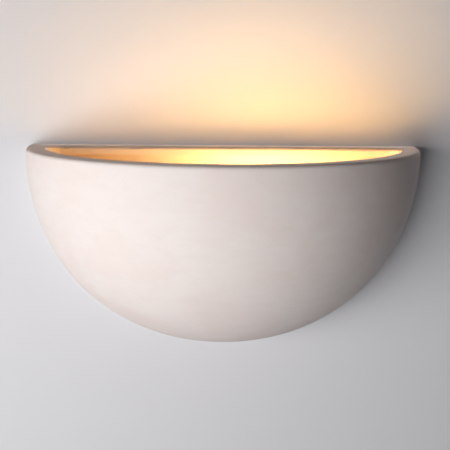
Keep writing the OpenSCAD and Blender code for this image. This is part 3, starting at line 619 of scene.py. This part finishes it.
def on_lamp_axis(shape, node):
    """Lays a shape made along +Z on the lamp's axis, from the start of a node."""
    low, _, middle = span(node)
    return aim(shape, (low.x, middle.y, middle.z), (1, 0, 0))


def join(first, *others):
    """Adds other shapes to the first."""
    for other in others:
        carrier = bpy.data.meshes.new("carrier")
        other.to_mesh(carrier)
        other.free()
        first.from_mesh(carrier)
        bpy.data.meshes.remove(carrier)
    return first


def place(shape, name, finish, nodes, weighted=False, sharp=32):
    """Makes a shape into a piece that stands for nodes, with one finish or a list of them."""
    mesh = bpy.data.meshes.new(name)
    shape.to_mesh(mesh)
    shape.free()
    mesh.polygons.foreach_set("use_smooth", [True] * len(mesh.polygons))
    mesh.set_sharp_from_angle(angle=math.radians(sharp))
    for layer in finish if isinstance(finish, (list, tuple)) else [finish]:
        mesh.materials.append(layer)
    piece = bpy.data.objects.new(name, mesh)
    bpy.context.scene.collection.objects.link(piece)
    if weighted:
        normals = piece.modifiers.new("Even shading", "WEIGHTED_NORMAL")
        normals.keep_sharp = True
    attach(piece, BODY_OF[nodes[0]])
    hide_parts(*nodes)
    return piece


def dress(finish, *nodes):
    """Gives CAD nodes a finish as they are."""
    for node in nodes:
        slots = frame["nodes"][node].data.materials
        slots.clear()
        slots.append(finish)


def finish_once(name, make):
    """A finish by name, made when it is first asked for."""
    return bpy.data.materials.get(name) or make()


def zinc():
    tones = (0.66, 0.68, 0.70), (0.50, 0.52, 0.55)
    return finish_once("zinc_plate", lambda: zinc_finish("zinc_plate", *tones, (1, 1, 9)))


def bright_zinc():
    tones = (0.74, 0.75, 0.76), (0.56, 0.57, 0.60)
    return finish_once("zinc_screws", lambda: zinc_finish("zinc_screws", *tones, (1, 8, 1), 0.2))


def nickel():
    return finish_once("nickelled_cap", cap_finish)


def fibre():
    return finish_once("vulcanised_fibre", fibre_finish)


def brass():
    return finish_once("turned_brass", brass_finish)


def moulding():
    return finish_once("white_moulding_gloss", moulding_finish)


# ---------------------------------------------------------------- settings


COLOUR = {"subtype": "COLOR", "size": 3, "min": 0, "max": 1}
LENGTH = {"subtype": "DISTANCE", "unit": "LENGTH"}
POWER = {"subtype": "POWER", "min": 0, "max": 500}


class UplighterPlaster(bpy.types.PropertyGroup):
    tint_warm: FloatVectorProperty(
        name="Warm tint", description="Colour of the plaster in its pinker clouds",
        default=(0.86, 0.757, 0.722), **COLOUR,
    )
    tint_cool: FloatVectorProperty(
        name="Cool tint", description="Colour of the plaster between the clouds",
        default=(0.87, 0.80, 0.768), **COLOUR,
    )
    # Painted glow and shade: the darker, orange plaster of the hollow away from the lamp
    tint_glow_shade: FloatVectorProperty(
        name="Inside tint", description="Painted lamp glow and shade on the plaster in the hollow",
        default=(0.78, 0.60, 0.45), **COLOUR,
    )
    # Painted lamp light: the paler plaster close to the lamp
    tint_painted_light: FloatVectorProperty(
        name="Lit tint", description="Paler plaster close to the lamp, painted as lamp light",
        default=(0.93, 0.92, 0.93), **COLOUR,
    )
    # Painted shade on the rim's top, which faces up away from the lights
    tint_rim_shade: FloatVectorProperty(
        name="Rim tint", description="Painted shade on the rim's top, greyer and warmer",
        default=(0.68, 0.55, 0.485), **COLOUR,
    )
    cloud_size: FloatProperty(
        name="Cloud size", description="Width of the plaster's clouds",
        min=0.01, max=0.3, default=0.075, **LENGTH,
    )


class UplighterFixings(bpy.types.PropertyGroup):
    stud_pitch: FloatProperty(
        name="Stud pitch", description="Pitch of the studs' thread",
        min=0.0005, max=0.002, default=0.0008, **LENGTH,
    )
    nipple_pitch: FloatProperty(
        name="Nipple pitch", description="Pitch of the nipple's thread",
        min=0.0005, max=0.002, default=0.001, **LENGTH,
    )
    edge_round: FloatProperty(
        name="Edge round", description="Radius on the edges of pressed and turned pieces",
        min=0.0, max=0.001, default=0.00025, **LENGTH,
    )


class UplighterLamp(bpy.types.PropertyGroup):
    glow: FloatVectorProperty(
        name="Glow", description="Colour of the lamp's light",
        default=(1.0, 0.55, 0.14), **COLOUR,
    )
    strength: FloatProperty(
        name="Strength", description="Brightness of the lamp's glass",
        min=0, max=100, default=23.0,
    )
    cap_pitch: FloatProperty(
        name="Cap pitch", description="Pitch of the lamp cap's thread",
        min=0.002, max=0.005, default=0.00363, **LENGTH,
    )
    ribs: IntProperty(
        name="Grip ribs", description="Ribs round the lampholder's skirt", min=12, max=120, default=48,
    )


class UplighterWires(bpy.types.PropertyGroup):
    sleeve_radius: FloatProperty(
        name="Sleeve radius", description="Radius of an inner wire with its insulation",
        min=0.0005, max=0.002, default=0.0011, **LENGTH,
    )
    core_radius: FloatProperty(
        name="Core radius", description="Radius of the copper strands of an inner wire",
        min=0.0003, max=0.0015, default=0.00085, **LENGTH,
    )
    live: FloatVectorProperty(
        name="Live", description="Colour of the live wire's insulation",
        default=(0.22, 0.075, 0.03), **COLOUR,
    )
    neutral: FloatVectorProperty(
        name="Neutral", description="Colour of the neutral wire's insulation",
        default=(0.02, 0.13, 0.52), **COLOUR,
    )
    earth: FloatVectorProperty(
        name="Earth", description="Green of the earth wire's insulation",
        default=(0.03, 0.34, 0.06), **COLOUR,
    )
    stripe: FloatVectorProperty(
        name="Stripe", description="Yellow of the earth wire's insulation",
        default=(0.86, 0.68, 0.03), **COLOUR,
    )


class UplighterStage(bpy.types.PropertyGroup):
    key: FloatProperty(
        name="Key light", description="Power of the soft light from the left front",
        default=8.2, **POWER,
    )
    side: FloatProperty(
        name="Side light", description="Power of the weak soft light from the far left",
        default=0.3, **POWER,
    )
    top: FloatProperty(
        name="Top light", description="Power of the weak soft light from above",
        default=0.1, **POWER,
    )
    back: FloatProperty(
        name="Back light", description="Power of the light on the side that lies on the wall",
        default=15.0, **POWER,
    )
    fill: FloatProperty(
        name="Fill", description="Strength of the even light all round", min=0, max=2, default=0.0,
    )
    wall: FloatVectorProperty(
        name="Wall", description="Colour of the wall behind the light",
        default=(0.75, 0.754, 0.78), **COLOUR,
    )


# ---------------------------------------------------------------- pieces


class UPLIGHTER_OT_bowl(bpy.types.Operator):
    """Cast plaster half bowl that hangs on the wall plate's studs"""

    bl_idname = "uplighter.bowl"
    bl_label = "Plaster bowl"

    def execute(self, context):
        place(skin_of("shade"), "plaster_bowl", plaster_finish(), ["shade"], weighted=True, sharp=28)
        return {"FINISHED"}


class UPLIGHTER_OT_hanging(bpy.types.Operator):
    """Wall plate with the threaded studs, washers and knurled nuts that hold the bowl"""

    bl_idname = "uplighter.hanging"
    bl_label = "Plate, studs and nuts"
    head_radius = 3.9  # of the studs, in millimetres

    def execute(self, context):
        look = context.scene.uplighter_fixings
        plate = soften(skin_of("wall_plate"), look.edge_round)
        place(plate, "pressed_plate", zinc(), ["wall_plate"], weighted=True)
        low, high, middle = span("shade_studs")
        studs = bmesh.new()
        for side in (-1, 1):
            stud = self.stud((high.y - low.y) / MM, look.stud_pitch / MM)
            centre = (high.x - self.head_radius * MM) * side
            join(studs, aim(stud, (centre, 0, middle.z), (0, -1, 0)))
        place(studs, "threaded_studs", bright_zinc(), ["shade_studs"], sharp=50)
        for side in ("left", "right"):
            washer = soften(skin_of(f"{side}_nut_washer"), 0.0002)
            place(washer, f"{side}_fibre_washer", fibre(), [f"{side}_nut_washer"])
            nut = soften(skin_of(f"{side}_thumb_nut"), 0.00018, above=42)
            place(nut, f"{side}_knurled_nut", brass(), [f"{side}_thumb_nut"])
        return {"FINISHED"}

    def stud(self, length, pitch):
        """Threaded stud with a flat head and a chamfered tip, in millimetres."""
        crest, foot, tip = 2.5, 2.0, length - 0.7
        shape = wound_thread(2.05, crest, pitch, foot, tip, steps=24)
        draw_on(shape, open_ring(shape, tip), (1.75, length - 0.05), (1.6, length))
        head = self.head_radius
        draw_on(shape, open_ring(shape, foot), (crest, 1.9), (head, 1.5), (head, 0.2), (head - 0.2, 0))
        bmesh.ops.holes_fill(shape, edges=shape.edges, sides=0)
        bmesh.ops.recalc_face_normals(shape, faces=shape.faces)
        return shape


class UPLIGHTER_OT_bracket(bpy.types.Operator):
    """Angle bracket with its rivets, and the hollow threaded fixing of the lampholder"""

    bl_idname = "uplighter.bracket"
    bl_label = "Bracket and nipple"

    def execute(self, context):
        look = context.scene.uplighter_fixings
        arm = soften(skin_of("holder_bracket"), look.edge_round, above=50)
        place(arm, "folded_bracket", zinc(), ["holder_bracket"], weighted=True)
        rivets = skin_of("bracket_rivets")
        place(rivets, "domed_rivets", bright_zinc(), ["bracket_rivets"])
        nipple = self.nipple(length_of("threaded_nipple"), look.nipple_pitch / MM)
        nipple = on_lamp_axis(nipple, "threaded_nipple")
        place(nipple, "hollow_nipple", brass(), ["threaded_nipple"], sharp=50)
        nut = soften(skin_of("nipple_nut"), 0.0003, above=40)
        place(nut, "hexagon_nut", brass(), ["nipple_nut"], weighted=True)
        lock = soften(skin_of("shakeproof_washer"), 0.00012, segments=1, above=50)
        place(lock, "toothed_washer", bright_zinc(), ["shakeproof_washer"], weighted=True)
        return {"FINISHED"}

    def nipple(self, length, pitch):
        """Threaded tube with chamfered ends, in millimetres."""
        root, crest, bore, chamfer = 4.55, 5.0, 4.1, 0.5
        shape = wound_thread(root, crest, pitch, chamfer, length - chamfer, steps=36)
        bottom = draw_on(shape, open_ring(shape, chamfer), (root, 0), (bore, 0))
        top = draw_on(shape, open_ring(shape, length - chamfer), (root, length), (bore, length))
        bmesh.ops.bridge_loops(shape, edges=top + bottom)
        bmesh.ops.recalc_face_normals(shape, faces=shape.faces)
        return shape


class UPLIGHTER_OT_holder(bpy.types.Operator):
    """Lampholder: rear and front shells, insert, threaded shell, contacts and terminals"""

    bl_idname = "uplighter.holder"
    bl_label = "Lampholder"

    def execute(self, context):
        look = context.scene.uplighter_lamp
        white = moulding()
        rear = soften(skin_of("holder_cap"), 0.0003, above=50)
        place(rear, "holder_rear_shell", white, ["holder_cap"], sharp=40)
        grip = on_lamp_axis(self.skirt(length_of("holder_skirt"), look.ribs), "holder_skirt")
        place(grip, "holder_front_shell", white, ["holder_skirt"])
        shell = on_lamp_axis(self.shell(length_of("screw_shell"), look.cap_pitch / MM), "screw_shell")
        place(shell, "threaded_shell", nickel(), ["screw_shell"], sharp=50)
        insert = soften(skin_of("holder_insert"), 0.0003, above=50)
        place(insert, "steatite_insert", steatite_finish(), ["holder_insert"], sharp=40)
        dress(brass(), "centre_contact", "holder_terminals")
        dress(bright_zinc(), "holder_terminal_screws")
        return {"FINISHED"}

    def skirt(self, length, ribs):
        """Front shell with a ribbed grip behind its bead, in millimetres."""
        outline = [
            (16.5, 0), (19.0, 0), (19.4, 0.4), (19.5, 1.2), (19.5, 10.6), (19.5, 12), (20.6, 12.6),
            (21, 13.2), (21, 14.8), (20.6, 15.4), (19.5, 16), (19.3, 20), (19.0, length - 1),
            (18.6, length - 0.3), (18.0, length), (15.4, length), (14.9, length - 0.3),
            (14.6, length - 1), (14.6, length - 2), (16.5, length - 3),
        ]
        grip_from, grip_to, grip_radius, groove = 1.0, 11, 19.4, 0.012
        shape = turned(outline, steps=ribs * 4)
        for vert in shape.verts:
            height = vert.co.z / MM
            if grip_from < height < grip_to and vert.co.xy.length > grip_radius * MM:
                turn = math.atan2(vert.co.y, vert.co.x) * ribs
                vert.co.xy *= 1 - groove * (0.5 - 0.5 * math.cos(turn)) ** 2
        return shape

    def shell(self, length, pitch):
        """Thin shell with a rolled thread and a flat foot, in millimetres."""
        foot, mouth, brim = 2, length - 1, 13.8
        shape = wound_thread(13.5, 14.05, pitch, foot, mouth, steps=64)
        draw_on(shape, open_ring(shape, foot), (brim, 0.6), (13.4, 0.1), (9.0, 0.1))
        draw_on(shape, open_ring(shape, mouth), (brim, length))
        bmesh.ops.recalc_face_normals(shape, faces=shape.faces)
        bmesh.ops.solidify(shape, geom=shape.faces[:], thickness=0.0003)
        return shape


class UPLIGHTER_OT_lamp(bpy.types.Operator):
    """Lamp: opal glass, threaded cap, insulator, tip, and the stem, leads and filament inside"""

    bl_idname = "uplighter.lamp"
    bl_label = "Lamp"

    def execute(self, context):
        look = context.scene.uplighter_lamp
        place(skin_of("lamp_glass"), "opal_globe", opal_finish(), ["lamp_glass"])
        cap = on_lamp_axis(self.cap(length_of("lamp_cap"), look.cap_pitch / MM), "lamp_cap")
        place(cap, "threaded_cap", nickel(), ["lamp_cap"], sharp=50)
        black = glass_finish("black_cap_glass", (0.02, 0.02, 0.022), 0.0)
        place(skin_of("lamp_insulator"), "cap_glass", black, ["lamp_insulator"])
        tip = soften(skin_of("lamp_tip_contact"), 0.0004, segments=3, above=18)
        place(tip, "solder_tip", solder_finish(), ["lamp_tip_contact"], sharp=60)
        dress(glass_finish("stem_glass", (0.84, 0.90, 0.90), 0.75), "lamp_stem")
        dress(bright_zinc(), "lamp_supports")
        dress(hot_wire_finish(), "lamp_filament")
        return {"FINISHED"}

    def cap(self, length, pitch):
        """Thin cap with a rolled thread between its shoulder and its collar, in millimetres."""
        crest, brim, shoulder, collar = 12.98, 12.9, 5.2, length - 4.2
        shape = wound_thread(12.3, crest, pitch, shoulder, collar, steps=64)
        draw_on(shape, open_ring(shape, shoulder), (12.2, 4.4), (11.4, 3.2), (9.3, 0.5), (8.9, 0))
        ring = open_ring(shape, collar)
        draw_on(shape, ring, (brim, length - 3.4), (crest, length - 0.4), (brim, length))
        bmesh.ops.recalc_face_normals(shape, faces=shape.faces)
        bmesh.ops.solidify(shape, geom=shape.faces[:], thickness=0.00025)
        return shape


class UPLIGHTER_OT_block(bpy.types.Operator):
    """Three-pole terminal block with its screws, and the bush in the cable hole"""

    bl_idname = "uplighter.block"
    bl_label = "Terminal block and bush"

    def execute(self, context):
        body = soften(skin_of("terminal_block"), 0.00022, above=50)
        place(body, "nylon_block", nylon_finish(), ["terminal_block"], weighted=True)
        dress(brass(), "terminal_tubes")
        dress(bright_zinc(), "terminal_screws", "block_screw")
        bush = soften(skin_of("entry_bush"), 0.0003, above=30)
        place(bush, "cable_bush", rubber_finish(), ["entry_bush"])
        return {"FINISHED"}


class UPLIGHTER_OT_wiring(bpy.types.Operator):
    """Live, neutral and earth wires, with the earth tag and its screw"""

    bl_idname = "uplighter.wiring"
    bl_label = "Wiring"

    def execute(self, context):
        look = context.scene.uplighter_wires
        copper = copper_finish()
        wide, core = look.sleeve_radius, look.core_radius
        bare_in_block, bare_in_holder, bare_in_tag = 0.0035, 0.0032, 0.0060
        brown = sleeve_finish("brown_insulation", look.live)
        blue = sleeve_finish("blue_insulation", look.neutral)
        striped = sleeve_finish("green_yellow_insulation", look.earth, look.stripe)
        for node, name, route, finish, bare_in_end in (
            ("live_wire", "brown_wire", LIVE_ROUTE, brown, bare_in_holder),
            ("neutral_wire", "blue_wire", NEUTRAL_ROUTE, blue, bare_in_holder),
            ("earth_wire", "striped_wire", EARTH_ROUTE, striped, bare_in_tag),
        ):
            wire = insulated_wire(route, wide, core, (bare_in_block, bare_in_end))
            place(wire, name, [finish, copper], [node], sharp=50)
        tag = soften(skin_of("earth_tag"), 0.00012, above=50)
        place(tag, "ring_terminal", bright_zinc(), ["earth_tag"], weighted=True)
        dress(brass(), "earth_screw")
        return {"FINISHED"}


# ---------------------------------------------------------------- stage


class UPLIGHTER_OT_stage(bpy.types.Operator):
    """Pale wall and floor, soft studio lights and the camera"""

    bl_idname = "uplighter.stage"
    bl_label = "Stage"

    def execute(self, context):
        look = context.scene.uplighter_stage
        wide, upright, flat = 4.2, math.pi / 2, 0
        wall_lift, floor_lift = (0.30, 0.85, 0.85), (0.0, 0.1, 0.8)
        self.surface("stage_wall", wide, (0, 0.0012, 0), upright, look.wall, wall_lift, see_through=True)
        self.surface("stage_floor", wide, (0, -2.1, -1.1), flat, look.wall, floor_lift)
        daylight, bowl, fixings = (1.0, 0.985, 0.98), (0, -0.06, -0.02), (0, 0, 0)
        for name, power, size, at, target, tone in (
            ("key_light", look.key, (0.85, 0.48), (-0.476, -0.809, -0.105), bowl, daylight),
            ("side_light", look.side, (0.3, 1.0), (-0.9, -0.24, 0.0), bowl, daylight),
            ("top_light", look.top, (0.9, 0.9), (-0.2, -0.5, 1.5), bowl, (1.0, 0.97, 0.94)),
            ("back_light", look.back, (1.2, 1.2), (0.4, 1.6, 0.5), fixings, (1.0, 1.0, 1.0)),
        ):
            self.lamp(name, power, size, Vector(at), Vector(target), tone)
        self.world(context, look.fill)
        self.camera(context)
        context.scene.view_settings.view_transform = "Standard"
        return {"FINISHED"}

    def surface(self, name, size, at, turn, tone, lift, see_through=False):
        """Flat pale square that the camera sees from its front only.

        Far from its middle, where little light falls, the camera sees an even tone instead. lift holds
        the radius where that starts, the radius where it is full, and its share there. One that is
        see_through casts no shadow, and isn't seen in metal or through glass.
        """
        shape = bmesh.new()
        bmesh.ops.create_grid(shape, x_segments=2, y_segments=2, size=size / 2)
        mesh = bpy.data.meshes.new(name)
        shape.to_mesh(mesh)
        shape.free()
        sheet = bpy.data.objects.new(name, mesh)
        sheet.location, sheet.rotation_euler = at, (turn, 0, 0)
        bpy.context.scene.collection.objects.link(sheet)
        made = Finish(name, Roughness=0.9, Specular_IOR_Level=0.1)
        made.set("Base Color", made.mix(made.noise(0.25, 2), tone, [part * 0.985 for part in tone]))
        start, full, share = lift
        painted = Signal(made, made.shader.outputs[0])
        even = made.add("ShaderNodeEmission", {}, {"Color": (0.70, 0.70, 0.705, 1), "Strength": 1.0})
        looking = made.add("ShaderNodeLightPath", {}, {}, "Is Camera Ray")
        far = made.step(made.where().length(), start, full) * looking * share
        front = made.add("ShaderNodeMixShader", {}, {0: far, 1: painted, 2: even})
        behind = made.add("ShaderNodeNewGeometry", {}, {}, "Backfacing")
        clear = made.add("ShaderNodeBsdfTransparent", {}, {})
        seen = made.add("ShaderNodeMixShader", {}, {0: behind, 1: front, 2: clear})
        made.feed(made.tree.nodes["Material Output"].inputs["Surface"], seen)
        mesh.materials.append(made.material)
        if see_through:
            sheet.visible_glossy = sheet.visible_transmission = sheet.visible_shadow = False

    def lamp(self, name, power, size, at, target, tone):
        """Soft rectangular light that looks at a target."""
        data = bpy.data.lights.new(name, "AREA")
        data.energy, data.color = power, tone
        data.shape, data.size, data.size_y = "RECTANGLE", *size
        light = bpy.data.objects.new(name, data)
        light.location = at
        light.rotation_euler = (target - at).to_track_quat("-Z", "Y").to_euler()
        bpy.context.scene.collection.objects.link(light)

    def world(self, context, fill):
        """Even fill light, with a pale surrounding for the camera and glass."""
        world = bpy.data.worlds.new("studio")
        context.scene.world = world
        world.use_nodes = True
        tree = world.node_tree
        plain = tree.nodes["Background"]
        plain.inputs["Color"].default_value = (1.0, 0.985, 0.97, 1)
        plain.inputs["Strength"].default_value = fill
        pale = tree.nodes.new("ShaderNodeBackground")
        pale.inputs["Color"].default_value = (0.86, 0.86, 0.86, 1)
        path = tree.nodes.new("ShaderNodeLightPath")
        either = tree.nodes.new("ShaderNodeMath")
        either.operation = "MAXIMUM"
        mixed = tree.nodes.new("ShaderNodeMixShader")
        tree.links.new(path.outputs["Is Camera Ray"], either.inputs[0])
        tree.links.new(path.outputs["Is Transmission Ray"], either.inputs[1])
        tree.links.new(either.outputs[0], mixed.inputs[0])
        tree.links.new(plain.outputs[0], mixed.inputs[1])
        tree.links.new(pale.outputs[0], mixed.inputs[2])
        tree.links.new(mixed.outputs[0], tree.nodes["World Output"].inputs["Surface"])

    def camera(self, context):
        """Camera a little above the rim, looking down at the middle of the bowl."""
        data = bpy.data.cameras.new("camera")
        data.sensor_fit, data.sensor_width, data.lens = "HORIZONTAL", 36.0, 76.27
        yaw, pitch, roll = 0.0035, 0.1699, 0.0076
        forward = Vector((
            math.sin(yaw) * math.cos(pitch), math.cos(yaw) * math.cos(pitch), -math.sin(pitch),
        ))
        right = Vector((math.cos(yaw), -math.sin(yaw), 0))
        up = right.cross(forward)
        side = right * math.cos(roll) + up * math.sin(roll)
        rise = up * math.cos(roll) - right * math.sin(roll)
        turn = Matrix((side, rise, -forward)).transposed().to_4x4()
        seen = bpy.data.objects.new("camera", data)
        seen.matrix_world = Matrix.Translation((-0.000734, -0.738304, 0.101999)) @ turn
        context.scene.collection.objects.link(seen)
        context.scene.camera = seen


PIECES = (
    UPLIGHTER_OT_bowl,
    UPLIGHTER_OT_hanging,
    UPLIGHTER_OT_bracket,
    UPLIGHTER_OT_holder,
    UPLIGHTER_OT_lamp,
    UPLIGHTER_OT_block,
    UPLIGHTER_OT_wiring,
    UPLIGHTER_OT_stage,
)
SETTINGS = {
    "uplighter_plaster": UplighterPlaster,
    "uplighter_fixings": UplighterFixings,
    "uplighter_lamp": UplighterLamp,
    "uplighter_wires": UplighterWires,
    "uplighter_stage": UplighterStage,
}


class UPLIGHTER_PT_panel(bpy.types.Panel):
    """The pieces of the uplighter, and the sizes and colours that they take"""

    bl_idname = "UPLIGHTER_PT_panel"
    bl_label = "Uplighter"
    bl_space_type = "VIEW_3D"
    bl_region_type = "UI"
    bl_category = "Uplighter"

    def draw(self, context):
        for group in SETTINGS:
            box = self.layout.box()
            settings = getattr(context.scene, group)
            for name in settings.bl_rna.properties.keys():
                if name not in ("rna_type", "name"):
                    box.prop(settings, name)
        for operator in PIECES:
            self.layout.operator(operator.bl_idname)


def register():
    for group, kind in SETTINGS.items():
        bpy.utils.register_class(kind)
        setattr(bpy.types.Scene, group, PointerProperty(type=kind))
    for kind in PIECES + (UPLIGHTER_PT_panel,):
        bpy.utils.register_class(kind)


def unregister():
    for kind in reversed(PIECES + (UPLIGHTER_PT_panel,)):
        bpy.utils.unregister_class(kind)
    for group, kind in SETTINGS.items():
        delattr(bpy.types.Scene, group)
        bpy.utils.unregister_class(kind)


def main():
    register()
    for operator in PIECES:
        area, name = operator.bl_idname.split(".")
        getattr(getattr(bpy.ops, area), name)()


if __name__ == "__main__":
    main()
